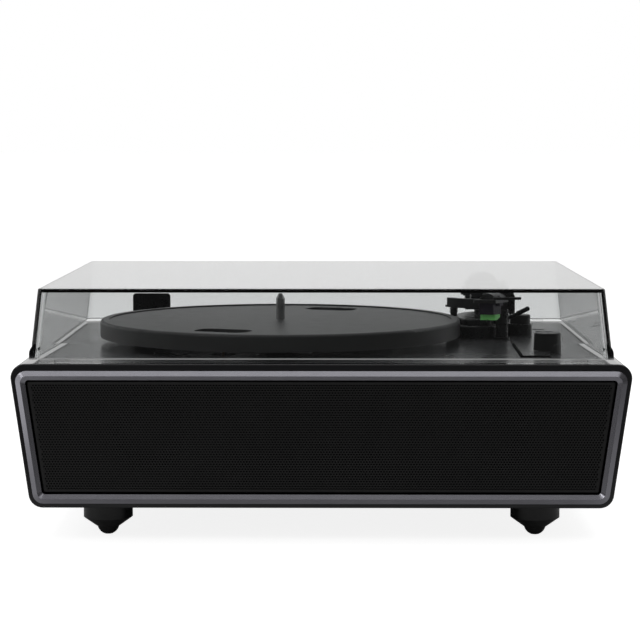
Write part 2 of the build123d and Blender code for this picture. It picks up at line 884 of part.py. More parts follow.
with BuildPart() as arm_base:
    with BuildSketch(Plane.XY.offset(deck_z)):
        with Locations((base_front_x, base_front_y)):
            Circle(base_front_radius)
        with Locations((pivot_x, pivot_y)):
            Circle(base_rear_radius)
        with Locations((piston_x, piston_y)):
            Circle(piston_lobe_radius)
        make_hull()
    extrude(amount=base_height)
    fillet(arm_base.faces().sort_by(Axis.Z)[-1].edges(), base_edge)
    with BuildSketch(Plane.XY.offset(deck_z)):
        with Locations((base_front_x, base_front_y)):
            Circle(base_front_radius - base_shoulder)
        with Locations((pivot_x, pivot_y)):
            Circle(base_rear_radius - base_shoulder)
        with Locations((piston_x, piston_y)):
            Circle(piston_lobe_radius - base_edge)
        make_hull()
    extrude(amount=base_top)
    fillet(arm_base.faces().sort_by(Axis.Z)[-1].edges(), base_edge)
    with BuildSketch(across_x(lever_boss_left, base_front_y, lever_z)):
        Circle(lever_boss_radius)
    extrude(amount=lever_boss_right - lever_boss_left)
    with BuildSketch(across_x(lever_boss_right, base_front_y, lever_z)):
        Circle(lever_pin_radius + running_gap)
    extrude(amount=-lever_pin_length, mode=Mode.SUBTRACT)
    with BuildSketch(Plane.XY.offset(deck_z)):
        with Locations((pivot_x, pivot_y)):
            Circle(post_radius)
        with Locations((piston_x, piston_y)):
            Circle(piston_radius + running_gap)
    extrude(amount=base_top, mode=Mode.SUBTRACT)
save(arm_base, "arm_base")

with BuildPart() as pivot_post:
    with BuildSketch(Plane.XY.offset(deck_under - post_tail)):
        with Locations((pivot_x, pivot_y)):
            Circle(post_radius)
    extrude(amount=post_tail + deck_thickness + post_top)
    with BuildSketch(Plane.XY.offset(deck_under)):
        with Locations((pivot_x, pivot_y)):
            RegularPolygon(post_nut_radius, 6)
    extrude(amount=-post_nut)
    with BuildSketch(Plane.XY.offset(deck_z + post_top)):
        with Locations((pivot_x, pivot_y)):
            Circle(yoke_shaft_radius + running_gap)
    extrude(amount=yoke_foot - post_top - yoke_shaft_length - body_gap, mode=Mode.SUBTRACT)
save(pivot_post, "pivot_post")

# Bearing yoke: two prongs on a turning base, with a pointed screw through each prong
pivot_z = deck_z + pivot_height

with BuildPart() as gimbal_yoke:
    with BuildSketch(across_x(pivot_x - yoke_half_width, pivot_y, deck_z)):
        with BuildLine():
            half = yoke_depth / 2
            l1 = Polyline((-half, yoke_top - yoke_top_radius), (-half, yoke_foot),
                          (half, yoke_foot), (half, yoke_top - yoke_top_radius))
            l2 = ThreePointArc(l1 @ 1, (0, yoke_top), l1 @ 0)
        make_face()
    extrude(amount=2 * yoke_half_width)
    with BuildSketch(upright(pivot_y)):
        with Locations((pivot_x, deck_z + yoke_foot + yoke_base)):
            Rectangle(2 * (yoke_half_width - yoke_prong), yoke_top, align=(Align.CENTER, Align.MIN))
    extrude(amount=yoke_depth, both=True, mode=Mode.SUBTRACT)
    with BuildSketch(Plane.XY.offset(deck_z + yoke_foot)):
        with Locations((pivot_x, pivot_y)):
            Circle(yoke_shaft_radius)
    extrude(amount=-yoke_shaft_length)
    with BuildSketch(across_x(pivot_x - yoke_half_width, pivot_y, pivot_z)):
        Circle(pivot_screw_radius)
    extrude(amount=2 * yoke_half_width, mode=Mode.SUBTRACT)
save(gimbal_yoke, "gimbal_yoke")

screw_inner = barrel_half_width - barrel_socket + body_gap
with BuildPart() as pivot_screws:
    for side in (-1, 1):
        with BuildSketch(across_x(pivot_x + side * screw_inner, pivot_y, pivot_z)):
            Circle(pivot_screw_radius)
        extrude(amount=side * (yoke_half_width + 2 * pivot_nut - screw_inner))
        with BuildSketch(across_x(pivot_x + side * yoke_half_width, pivot_y, pivot_z)):
            RegularPolygon(pivot_nut_radius, 6)
        extrude(amount=side * pivot_nut)
save(pivot_screws, "pivot_screws")

# Tonearm, modelled in the plane it lies in when parked
arm = Plane(origin=(pivot_x, pivot_y, pivot_z), x_dir=(1, 0, 0),
            z_dir=(0, sin(radians(arm_tilt)), cos(radians(arm_tilt))))
head = Plane(arm.location * Location((stylus_side, -stylus_reach, 0), (0, 0, -head_angle)))
barrel_back = barrel_depth / 2


def facing_front(plane, y):
    """A plane square to the length of the given one, at y along it, facing the front."""
    return Plane(origin=plane.from_local_coords((0, y, 0)), x_dir=plane.x_dir, z_dir=-plane.y_dir)


with BuildPart() as arm_barrel:
    with BuildSketch(Plane(origin=arm.from_local_coords((-barrel_half_width, 0, 0)),
                           x_dir=arm.y_dir, z_dir=arm.x_dir)):
        RectangleRounded(barrel_depth, 2 * barrel_radius, barrel_corner)
    extrude(amount=2 * barrel_half_width)
    with BuildSketch(facing_front(arm, barrel_back)):
        Circle(stub_radius)
    extrude(amount=-stub_length)
    for side in (-1, 1):
        with BuildSketch(across_x(pivot_x + side * barrel_half_width, pivot_y, pivot_z)):
            Circle(pivot_screw_radius + running_gap)
        extrude(amount=-side * barrel_socket, mode=Mode.SUBTRACT)
save(arm_barrel, "arm_barrel")

with BuildPart() as arm_tube:
    with BuildSketch(facing_front(arm, -barrel_back)):
        Circle(tube_radius)
        Circle(tube_bore, mode=Mode.SUBTRACT)
    extrude(amount=tube_front - barrel_back)
save(arm_tube, "arm_tube")

# Headshell: a tapering plate under a raised fairing, held on the tube by a collar
plate_under = head_top - head_plate
slot_side = cartridge_slot_spread / 2

with BuildPart() as headshell:
    with BuildSketch(head.offset(plate_under)) as plate_outline:
        Polygon((-head_half_width, -head_front), (head_half_width, -head_front),
                (head_tail_half_width, head_back), (-head_tail_half_width, head_back))
        fillet(plate_outline.vertices(), head_corner)
    extrude(amount=head_plate)
    with BuildSketch(facing_front(head, head_back)):
        with Locations((0, head_top + fairing_rise - fairing_radius)):
            Circle(fairing_radius)
        with Locations((0, plate_under)):
            Rectangle(2 * fairing_radius, head_plate + fairing_rise,
                      align=(Align.CENTER, Align.MIN), mode=Mode.INTERSECT)
    extrude(amount=head_back - fairing_start)
    with BuildSketch(head.offset(head_top)):
        with Locations((-slot_side, cartridge_slot_place), (slot_side, cartridge_slot_place)):
            SlotOverall(cartridge_slot_length + cartridge_slot_width,
                        2 * mount_screw_head_radius + running_gap, rotation=90)
    extrude(amount=fairing_rise, mode=Mode.SUBTRACT)
    with BuildSketch(head.offset(plate_under)):
        with Locations((-slot_side, cartridge_slot_place), (slot_side, cartridge_slot_place)):
            SlotOverall(cartridge_slot_length, cartridge_slot_width, rotation=90)
    extrude(amount=head_plate, mode=Mode.SUBTRACT)
    with BuildSketch(facing_front(arm, collar_grip - tube_front)):
        Circle(tube_radius + collar_wall)
    extrude(amount=collar_length)
    with BuildSketch(facing_front(arm, collar_grip - tube_front)):
        Circle(tube_radius)
    extrude(amount=collar_grip, mode=Mode.SUBTRACT)
save(headshell, "headshell")

lift_line = ThreePointArc((head_half_width - lift_root, 0),
                          ((head_half_width + lift_reach) / 2, lift_bow), (lift_reach, lift_sweep))
with BuildPart() as finger_lift:
    with BuildSketch(head.offset(head_top)):
        SlotArc(lift_line, lift_width)
    extrude(amount=lift_sheet)
save(finger_lift, "finger_lift")

# Cartridge, its stylus holder, cantilever, screws and leads
body_floor = -cartridge_bottom
flange_floor = plate_under - cartridge_flange
body_middle = (cartridge_back - cartridge_front) / 2

with BuildPart() as cartridge_body:
    with BuildSketch(head.offset(body_floor)):
        with Locations((0, body_middle)):
            RectangleRounded(cartridge_width, cartridge_back + cartridge_front, cartridge_edge)
    extrude(amount=plate_under - body_floor)
    with BuildSketch(head.offset(flange_floor)):
        with Locations((0, cartridge_slot_place)):
            RectangleRounded(2 * cartridge_flange_half,
                             2 * (cartridge_slot_place - cartridge_flange_front), cartridge_edge)
    extrude(amount=cartridge_flange)
    with BuildSketch(head.offset(flange_floor)):
        with Locations((-slot_side, cartridge_slot_place), (slot_side, cartridge_slot_place)):
            Circle(mount_screw_radius)
    extrude(amount=cartridge_flange, mode=Mode.SUBTRACT)
save(cartridge_body, "cartridge_body")

head_side = Plane(origin=head.from_local_coords((-holder_width / 2, 0, 0)),
                  x_dir=head.y_dir, z_dir=head.x_dir)
with BuildPart() as stylus_holder:
    extrude(profile(head_side,
                    (holder_front, body_floor), (holder_back, body_floor),
                    (holder_back, body_floor - holder_nose), (holder_front + 2 * holder_nose, -holder_bottom),
                    (holder_front, -holder_bottom)),
            holder_width, dir=head.x_dir)
save(stylus_holder, "stylus_holder")

needle_root = (0, holder_front, cantilever_radius - holder_bottom)
needle_tip = (0, 0, tip_length - stylus_tip)
needle = Plane(origin=head.from_local_coords(needle_root),
               z_dir=head.from_local_coords(needle_tip) - head.from_local_coords(needle_root))
needle_length = (head.from_local_coords(needle_tip) - head.from_local_coords(needle_root)).length
with BuildPart() as cantilever:
    with BuildSketch(needle):
        Circle(cantilever_radius)
    extrude(amount=needle_length)
    with BuildSketch(head.offset(-stylus_tip)):
        Circle(tip_point_radius)
    with BuildSketch(head.offset(tip_length - stylus_tip)):
        Circle(tip_radius)
    loft()
save(cantilever, "cantilever")

with BuildPart() as cartridge_screws:
    with BuildSketch(head.offset(head_top)):
        with Locations((-slot_side, cartridge_slot_place), (slot_side, cartridge_slot_place)):
            Circle(mount_screw_head_radius)
    extrude(amount=mount_screw_head)
    with BuildSketch(head.offset(head_top)):
        with Locations((-slot_side, cartridge_slot_place), (slot_side, cartridge_slot_place)):
            Circle(mount_screw_radius)
    extrude(amount=-head_plate - cartridge_flange)
save(cartridge_screws, "cartridge_screws")

with BuildPart() as cartridge_leads:
    for side in (-1, 1):
        for height in (lead_low, lead_high):
            start = head.from_local_coords((side * lead_spread, cartridge_back, -height))
            with BuildLine() as lead_path:
                Spline(start,
                       head.from_local_coords((side * lead_spread, cartridge_back + lead_pin, -height - lead_bend)),
                       head.from_local_coords((side * lead_spread * lead_gather_share,
                                               cartridge_back + lead_run, plate_under - lead_radius - height / 2)),
                       tangents=(head.y_dir, head.y_dir))
            with BuildSketch(Plane(origin=start, z_dir=head.y_dir)):
                Circle(lead_radius)
            sweep(path=lead_path.line)
save(cartridge_leads, "cartridge_leads")

# Counterweight and its force dial, both on the stub behind the pivot
with BuildPart() as counterweight:
    with BuildSketch(facing_front(arm, weight_front)):
        Circle(weight_radius)
    extrude(amount=-weight_length)
    fillet(counterweight.edges(), weight_edge)
    with BuildSketch(facing_front(arm, weight_front + weight_length - 2 * weight_edge)):
        Circle(weight_radius)
        Circle(weight_radius - weight_groove_depth, mode=Mode.SUBTRACT)
    extrude(amount=weight_groove, mode=Mode.SUBTRACT)
    with BuildSketch(facing_front(arm, weight_front)):
        Circle(stub_radius + running_gap)
    extrude(amount=-weight_length, mode=Mode.SUBTRACT)
save(counterweight, "counterweight")

with BuildPart() as force_dial:
    with BuildSketch(facing_front(arm, weight_front - body_gap)):
        Circle(dial_radius)
        with PolarLocations(dial_radius, dial_grips):
            Circle(dial_grip_radius, mode=Mode.SUBTRACT)
        Circle(stub_radius + running_gap, mode=Mode.SUBTRACT)
    extrude(amount=dial_length)
save(force_dial, "force_dial")

# Arm rest: a column whose head cradles the tube, with a clip that folds over it
rest_x = pivot_x + rest_right
clip_x = rest_x - clip_left
rest_y = pivot_y - rest_ahead

with BuildPart() as arm_rest:
    with BuildSketch(Plane.XY.offset(deck_z)):
        with Locations((rest_x, rest_y)):
            Circle(rest_foot_radius)
    extrude(amount=rest_foot)
    with BuildSketch(Plane.XY.offset(deck_z)):
        with Locations((rest_x, rest_y)):
            Circle(rest_radius)
    extrude(amount=rest_neck)
    with BuildSketch(upright(rest_y).offset(-rest_depth / 2)):
        Polygon((rest_x - rest_jaw_reach, deck_z + rest_neck), (rest_x + rest_outer_reach, deck_z + rest_neck),
                (rest_x + rest_outer_reach, deck_z + rest_top - rest_chamfer),
                (rest_x + rest_outer_reach - rest_chamfer, deck_z + rest_top),
                (rest_x - rest_inner_reach, deck_z + rest_top), (rest_x - rest_inner_reach, deck_z + rest_jaw_top),
                (rest_x - rest_jaw_reach, deck_z + rest_jaw_top))
    extrude(amount=rest_depth)
    for side in (-1, 1):
        with BuildSketch(upright(rest_y + side * (rest_depth - clip_ear) / 2).offset(-clip_ear / 2)):
            with Locations((clip_x, deck_z + clip_height)):
                Circle(clip_hub_radius)
            with Locations((clip_x, deck_z + rest_top)):
                Rectangle(2 * clip_hub_radius, clip_height - rest_top, align=(Align.CENTER, Align.MIN))
        extrude(amount=clip_ear)
    with BuildSketch(upright(rest_y).offset(-rest_depth / 2)):
        with Locations((clip_x, deck_z + clip_height)):
            Circle(clip_pin_radius)
    extrude(amount=rest_depth)
save(arm_rest, "arm_rest")

clip_width = rest_depth - 2 * clip_ear - 2 * body_gap
clip_plane = Plane(origin=(clip_x, rest_y + clip_width / 2, deck_z + clip_height),
                   x_dir=(cos(radians(clip_droop)), 0, -sin(radians(clip_droop))), z_dir=(0, -1, 0))
with BuildPart() as arm_clip:
    with BuildSketch(clip_plane):
        Circle(clip_hub_radius)
        Polygon((0, clip_thickness / 2), (0, -clip_thickness / 2), (clip_reach, -clip_thickness / 2),
                (clip_reach, clip_thickness), (clip_reach - clip_thickness, clip_thickness),
                (clip_reach - clip_thickness, clip_thickness / 2), align=None)
        Circle(clip_pin_radius + running_gap, mode=Mode.SUBTRACT)
    extrude(amount=clip_width)
save(arm_clip, "arm_clip")

# Cue lever: a hub beside the base's boss, a pin into it and a bent-up rod with a grip
lever_root = Vector(lever_boss_right + body_gap + lever_hub_length / 2, base_front_y, lever_z)
lever_tip = Vector(pivot_x + lever_tip_right, pivot_y - lever_tip_ahead, deck_z + lever_tip_height)
lever_line = Plane(origin=lever_root, z_dir=lever_tip - lever_root)
lever_length = (lever_tip - lever_root).length

with BuildPart() as cue_lever:
    with BuildSketch(across_x(lever_boss_right + body_gap, base_front_y, lever_z)):
        Circle(lever_hub_radius)
    extrude(amount=lever_hub_length)
    with BuildSketch(across_x(lever_boss_right + body_gap, base_front_y, lever_z)):
        Circle(lever_pin_radius)
    extrude(amount=-lever_pin_length)
    with BuildSketch(lever_line):
        Circle(lever_rod_radius)
    extrude(amount=lever_length)
    with BuildSketch(lever_line.offset(lever_length * (1 - lever_grip_share))):
        Circle(lever_grip_radius)
    extrude(amount=lever_length * lever_grip_share)
save(cue_lever, "cue_lever")

flange_turn = degrees(platform_flange_reach / platform_radius)

# Cue platform: a curved rest under the arm, on a ribbed piston that slides in the base
with BuildPart() as cue_platform:
    with BuildSketch(Plane.XY.offset(deck_z + platform_top - platform_height)):
        with Locations((pivot_x, pivot_y)):
            SlotArc(CenterArc((0, 0), platform_radius, front_direction - platform_start,
                              platform_start - platform_end), platform_width)
    extrude(amount=platform_height)
    with BuildSketch(Plane.XY.offset(deck_z + platform_top - platform_height)):
        with Locations((pivot_x, pivot_y)):
            SlotArc(CenterArc((0, 0), platform_radius, front_direction - platform_start - flange_turn,
                              platform_start - platform_end + flange_turn), platform_width)
    extrude(amount=platform_flange)
    with BuildSketch(Plane.XY.offset(deck_z + piston_foot)):
        with Locations((piston_x, piston_y)):
            Circle(piston_radius)
    extrude(amount=platform_top - platform_height - piston_foot)
    for rib in range(rib_count):
        with BuildSketch(Plane.XY.offset(deck_z + platform_top - platform_height - rib_step * (rib + 1))):
            with Locations((piston_x, piston_y)):
                Circle(rib_radius)
        extrude(amount=rib_height)
save(cue_platform, "cue_platform")

# Anti-skate dial on its base
skate_x = pivot_x + skate_right
skate_y = pivot_y - skate_ahead
skate_top = deck_z + skate_base_height

with BuildPart() as anti_skate_base:
    with BuildSketch(Plane.XY.offset(deck_z)):
        with Locations((skate_x, skate_y)):
            Circle(skate_base_radius)
    extrude(amount=skate_base_height)
    fillet(anti_skate_base.faces().sort_by(Axis.Z)[-1].edges(), skate_edge)
    with BuildSketch(Plane.XY.offset(skate_top)):
        with Locations((skate_x, skate_y)):
            Circle(skate_shaft_radius + running_gap)
    extrude(amount=-skate_shaft_length, mode=Mode.SUBTRACT)
save(anti_skate_base, "anti_skate_base")

with BuildPart() as anti_skate_dial:
    with BuildSketch(Plane.XY.offset(skate_top + body_gap)):
        with Locations((skate_x, skate_y)):
            Circle(skate_dial_radius)
    extrude(amount=skate_dial_height)
    fillet(anti_skate_dial.faces().sort_by(Axis.Z)[-1].edges(), skate_edge)
    with BuildSketch(Plane.XY.offset(skate_top + body_gap + skate_dial_height)):
        with Locations((skate_x, skate_y)):
            with Locations((0, -skate_dial_radius / 2)):
                SlotOverall(skate_dial_radius - skate_edge, skate_mark, rotation=90)
    extrude(amount=-skate_mark / 2, mode=Mode.SUBTRACT)
    with BuildSketch(Plane.XY.offset(skate_top + body_gap)):
        with Locations((skate_x, skate_y)):
            Circle(skate_shaft_radius)
    extrude(amount=body_gap - skate_shaft_length)
save(anti_skate_dial, "anti_skate_dial")

# Volume knob over the control's nut, with its shaft running down into the control
knob_foot = deck_z + knob_lift
knob_crown = knob_foot + knob_height

with BuildPart() as volume_knob:
    revolve(profile(standing(knob_x, knob_y),
                    (0, deck_z - control_shaft_length), (control_shaft_radius, deck_z - control_shaft_length),
                    (control_shaft_radius, knob_foot + knob_recess),
                    (knob_recess_radius, knob_foot + knob_recess), (knob_recess_radius, knob_foot),
                    (knob_radius, knob_foot), (knob_top_radius, knob_crown), (0, knob_crown)),
            axis=upright_axis(knob_x, knob_y))
    fillet(volume_knob.edges().filter_by(GeomType.CIRCLE).group_by(Axis.Z)[-1], knob_edge)
    with BuildSketch(Plane.XY.offset(knob_crown)):
        with Locations((knob_x, knob_y)):
            with Locations((0, -knob_radius / 2)):
                SlotOverall(knob_radius - 2 * knob_edge, knob_groove, rotation=90)
    extrude(amount=-knob_groove_depth, mode=Mode.SUBTRACT)
save(volume_knob, "volume_knob")

with BuildPart() as volume_control:
    with BuildSketch(Plane.XY.offset(deck_under)):
        with Locations((knob_x, knob_y)):
            RectangleRounded(control_size, control_size, knob_edge)
    extrude(amount=-control_depth)
    with BuildSketch(Plane.XY.offset(deck_under)):
        with Locations((knob_x, knob_y)):
            Circle(control_bush_radius)
    extrude(amount=deck_thickness)
    with BuildSketch(Plane.XY.offset(deck_z)):
        with Locations((knob_x, knob_y)):
            RegularPolygon(control_nut_radius, 6)
    extrude(amount=control_nut)
    with BuildSketch(Plane.XY.offset(deck_z + control_nut)):
        with Locations((knob_x, knob_y)):
            Circle(control_shaft_radius + running_gap)
    extrude(amount=-control_nut - control_shaft_length - body_gap, mode=Mode.SUBTRACT)
save(volume_control, "volume_control")

# Dust cover: a drafted open box with grip pads at its two lower front corners
lid_foot_z = deck_z + lid_lift
lid_top_z = deck_z + lid_height
lid_rear_y = front_y + lid_rear


def lid_outline(inset, z):
    """The dust cover's outline at height z, drawn in by inset all round."""
    share = (z - lid_foot_z) / (lid_top_z - lid_foot_z)
    width = lid_bottom_width + (lid_top_width - lid_bottom_width) * share
    start = front_y + lid_front_bottom + (lid_front_top - lid_front_bottom) * share
    with BuildSketch(Plane.XY.offset(z)) as outline:
        with Locations((0, (start + lid_rear_y) / 2)):
            RectangleRounded(width - 2 * inset, lid_rear_y - start - 2 * inset, lid_corner)
    return outline.sketch.face()


with BuildPart() as grips:
    with BuildSketch(Plane.XY.offset(lid_foot_z)):
        with Locations((0, front_y + lid_front_bottom - grip_proud)):
            with GridLocations(lid_bottom_width - grip_length + 2 * grip_proud, 0, 2, 1):
                RectangleRounded(grip_length, 2 * grip_side_length, grip_corner)
        with Locations((0, front_y + lid_front_bottom - grip_proud)):
            Rectangle(lid_bottom_width + 2 * grip_length, 2 * grip_side_length,
                      align=(Align.CENTER, Align.MIN), mode=Mode.INTERSECT)
    extrude(amount=grip_height)
    with BuildSketch(upright(front_y - overrun)):
        with Locations((0, lid_foot_z)):
            with GridLocations(lid_bottom_width - grip_length + 2 * grip_proud, 0, 2, 1):
                RectangleRounded(grip_length, 2 * grip_height, grip_round)
    extrude(amount=-grip_side_length - lid_front_bottom - overrun, mode=Mode.INTERSECT)

with BuildPart() as lid:
    loft([lid_outline(0, lid_foot_z), lid_outline(0, lid_top_z)])
    fillet(lid.faces().sort_by(Axis.Z)[-1].edges(), lid_edge)
    add(grips.part)
    loft([lid_outline(lid_sheet, lid_foot_z), lid_outline(lid_sheet, lid_top_z - lid_sheet)],
         mode=Mode.SUBTRACT)
save(lid, "lid")

bumper_front_y = front_y + lid_front_bottom + lid_sheet / 2
bumper_rear_y = lid_rear_y - lid_sheet / 2
with BuildPart() as lid_bumpers:
    with BuildSketch(Plane.XY.offset(deck_z + body_gap)):
        with Locations((0, (bumper_front_y + bumper_rear_y) / 2)):
            with GridLocations(lid_bottom_width - 2 * bumper_inset, bumper_rear_y - bumper_front_y, 2, 2):
                SlotOverall(bumper_length, lid_sheet)
    extrude(amount=lid_lift - body_gap)
save(lid_bumpers, "lid_bumpers")

# Hinges: a leaf on the cover, a base on the cabinet and a pin through their knuckles
hinge_y = lid_rear_y + hinge_axis_behind
hinge_z = deck_z + hinge_axis_height
base_knuckle = (hinge_base_length - hinge_leaf_knuckle) / 2 - body_gap

with BuildPart() as hinge_leaves:
    for side in (-1, 1):
        middle = side * hinge_offset
        with BuildSketch(upright(lid_rear_y)) as leaf_outline:
            with Locations((middle, hinge_z)):
                Rectangle(hinge_leaf_width, hinge_leaf_top - hinge_axis_height,
                          align=(Align.CENTER, Align.MIN))
            fillet(leaf_outline.vertices(), hinge_leaf_corner)
        extrude(amount=-hinge_leaf_sheet)
        with BuildSketch(across_x(middle - hinge_leaf_knuckle / 2, hinge_y, hinge_z)):
            Circle(hinge_knuckle_radius)
            Rectangle(hinge_axis_behind, hinge_knuckle_radius, align=(Align.MAX, Align.MIN))
            Circle(hinge_pin_radius + running_gap, mode=Mode.SUBTRACT)
        extrude(amount=hinge_leaf_knuckle)
save(hinge_leaves, "hinge_leaves")

with BuildPart() as hinge_bases:
    for side in (-1, 1):
        middle = side * hinge_offset
        with BuildSketch(Plane.XY.offset(deck_z)):
            with Locations((middle, hinge_y)):
                Rectangle(hinge_base_length, 2 * hinge_knuckle_radius)
        extrude(amount=hinge_base_foot)
        for end in (-1, 1):
            with BuildSketch(across_x(middle + end * hinge_base_length / 2, hinge_y, hinge_z)):
                Circle(hinge_knuckle_radius)
                Rectangle(2 * hinge_knuckle_radius, hinge_axis_height, align=(Align.CENTER, Align.MAX))
                Circle(hinge_pin_radius, mode=Mode.SUBTRACT)
            extrude(amount=-end * base_knuckle)
save(hinge_bases, "hinge_bases")

with BuildPart() as hinge_pins:
    for side in (-1, 1):
        with BuildSketch(across_x(side * hinge_offset - hinge_base_length / 2, hinge_y, hinge_z)):
            Circle(hinge_pin_radius)
        extrude(amount=hinge_base_length)
save(hinge_pins, "hinge_pins")

# Amplifier board on its posts, with capacitors, a chip and a finned heat sink
floor_z = foot_height + cabinet_wall
board_y = rear_panel_y - rear_panel_thickness - jack_body_depth - board_gap - board_depth / 2
board_z = floor_z + board_standoff
board_top = board_z + board_sheet

with BuildPart() as amplifier_board:
    with BuildSketch(Plane.XY.offset(floor_z)):
        with Locations((board_x, board_y)):
            with GridLocations(board_width - 4 * board_post_radius, board_depth - 4 * board_post_radius, 2, 2):
                Circle(board_post_radius)
    extrude(amount=board_standoff)
    with BuildSketch(Plane.XY.offset(board_z)):
        with Locations((board_x, board_y)):
            Rectangle(board_width, board_depth)
    extrude(amount=board_sheet)
    with BuildSketch(Plane.XY.offset(board_top)):
        with Locations((board_x - board_width / 4, board_y)):
            with GridLocations(0, board_depth / board_cans, 1, board_cans):
                Circle(board_can_radius)
    extrude(amount=board_can_height)
    with BuildSketch(Plane.XY.offset(board_top)):
        with Locations((board_x, board_y)):
            Rectangle(chip_size, chip_size)
    extrude(amount=chip_height)
    with BuildSketch(Plane.XY.offset(board_top)):
        with Locations((board_x + board_width / 4, board_y)):
            Rectangle(sink_depth, sink_length)
    extrude(amount=sink_fin)
    with BuildSketch(Plane.XY.offset(board_top + sink_fin)):
        with Locations((board_x + board_width / 4, board_y)):
            with GridLocations(0, (sink_length - sink_fin) / (sink_fins - 1), 1, sink_fins):
                Rectangle(sink_depth, sink_fin)
    extrude(amount=sink_height - sink_fin)
save(amplifier_board, "amplifier_board")

# Rear sockets: a round power inlet with its centre pin, and a pair of line-out jacks
with BuildPart() as power_inlet:
    with BuildSketch(upright(rear_panel_y)):
        with Locations((inlet_x, socket_z)):
            Circle(inlet_flange_radius)
    extrude(amount=-inlet_flange)
    with BuildSketch(upright(rear_panel_y)):
        with Locations((inlet_x, socket_z)):
            Circle(inlet_radius)
    extrude(amount=rear_panel_thickness)
    with BuildSketch(upright(rear_panel_y - rear_panel_thickness)):
        with Locations((inlet_x, socket_z)):
            Circle(inlet_body_radius)
    extrude(amount=inlet_body - rear_panel_thickness)
    with BuildSketch(upright(rear_panel_y + inlet_flange)):
        with Locations((inlet_x, socket_z)):
            Circle(inlet_bore)
    extrude(amount=inlet_length, mode=Mode.SUBTRACT)
    with BuildSketch(upright(rear_panel_y + inlet_flange - inlet_length)):
        with Locations((inlet_x, socket_z)):
            Circle(inlet_pin)
    extrude(amount=-inlet_length + inlet_flange)
save(power_inlet, "power_inlet")

with BuildPart() as line_out_jacks:
    with BuildSketch(upright(rear_panel_y)):
        with Locations((jack_x, socket_z)):
            Rectangle(jack_plate_width, jack_plate_height)
    extrude(amount=-jack_plate)
    with BuildSketch(upright(rear_panel_y - rear_panel_thickness)):
        with Locations((jack_x, socket_z)):
            Rectangle(jack_plate_width - jack_plate_height + jack_body_height, jack_body_height)
    extrude(amount=jack_body_depth)
    with BuildSketch(upright(rear_panel_y - rear_panel_thickness)):
        with Locations((jack_x, socket_z)):
            with GridLocations(jack_spread, 0, 2, 1):
                Circle(jack_radius)
    extrude(amount=-rear_panel_thickness - jack_length)
    with BuildSketch(upright(rear_panel_y + jack_length)):
        with Locations((jack_x, socket_z)):
            with GridLocations(jack_spread, 0, 2, 1):
                Circle(jack_bore)
    extrude(amount=jack_length + rear_panel_thickness, mode=Mode.SUBTRACT)
    with BuildSketch(upright(rear_panel_y + jack_length)):
        with Locations((jack_x, socket_z)):
            with GridLocations(jack_spread, 0, 2, 1):
                Circle(jack_insulator)
                Circle(jack_insulator - jack_plate / 2, mode=Mode.SUBTRACT)
    extrude(amount=jack_plate / 2, mode=Mode.SUBTRACT)
save(line_out_jacks, "line_out_jacks")

# Power switch: a snap-in frame and the rocker that tips in it
rocker_half = switch_height / 2 - switch_wall - rocker_play
rocker_y = rear_panel_y - rocker_axis_depth
rim_y = rear_panel_y + switch_rim_proud
with BuildPart() as power_switch_frame:
    with BuildSketch(upright(rear_panel_y)):
        with Locations((switch_x, socket_z)):
            Rectangle(switch_width + 2 * switch_rim, switch_height + 2 * switch_rim)
    extrude(amount=-switch_rim_proud)
    with BuildSketch(upright(rear_panel_y)):
        with Locations((switch_x, socket_z)):
            Rectangle(switch_width, switch_height)
    extrude(amount=switch_depth)
    with BuildSketch(upright(rim_y)):
        with Locations((switch_x, socket_z)):
            Rectangle(switch_width - 2 * switch_wall, switch_height - 2 * switch_wall)
    extrude(amount=switch_depth + switch_rim_proud - switch_rim, mode=Mode.SUBTRACT)
save(power_switch_frame, "power_switch_frame")

rocker_plane = Plane(origin=(switch_x - switch_width / 2 + switch_wall + body_gap, rocker_y, socket_z),
                     x_dir=(0, 1, 0), z_dir=(1, 0, 0))
rocker_lean = tan(radians(rocker_angle))
with BuildPart() as power_rocker:
    with BuildSketch(rocker_plane):
        Polygon((0, -rocker_half), (rocker_face - rocker_lean * rocker_half, -rocker_half),
                (rocker_face, 0), (rocker_face - rocker_lean * rocker_half, rocker_half),
                (0, rocker_half), align=None, rotation=-rocker_angle)
        Circle(rocker_axle_radius)
    extrude(amount=switch_width - 2 * (switch_wall + body_gap))
save(power_rocker, "power_rocker")
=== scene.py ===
import bpy
import bmesh
from math import cos, pi, radians, sin
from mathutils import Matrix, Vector


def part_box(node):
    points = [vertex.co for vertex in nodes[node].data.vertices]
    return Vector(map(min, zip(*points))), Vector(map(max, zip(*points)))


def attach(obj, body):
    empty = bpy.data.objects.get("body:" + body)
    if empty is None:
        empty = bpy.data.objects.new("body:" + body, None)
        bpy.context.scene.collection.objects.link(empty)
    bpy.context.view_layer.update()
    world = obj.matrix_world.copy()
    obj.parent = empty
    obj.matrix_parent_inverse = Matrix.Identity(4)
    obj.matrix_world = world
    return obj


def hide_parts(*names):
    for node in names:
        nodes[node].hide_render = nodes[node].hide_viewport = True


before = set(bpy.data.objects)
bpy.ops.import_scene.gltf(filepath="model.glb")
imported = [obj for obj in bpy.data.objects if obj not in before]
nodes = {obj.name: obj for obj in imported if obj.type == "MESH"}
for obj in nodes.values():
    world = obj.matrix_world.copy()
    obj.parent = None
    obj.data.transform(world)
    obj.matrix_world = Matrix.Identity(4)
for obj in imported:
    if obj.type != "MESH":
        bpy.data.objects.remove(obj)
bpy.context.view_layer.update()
mm = 0.001

# Camera: the photograph's place and angle, for a 640 by 640 picture
camera_place = Vector((0.0109, -1.6942, 0.3009))
camera_down = radians(5.08)
camera_left = radians(0.44)
focal_pixels = 2089
picture_pixels = 640
sensor = 36

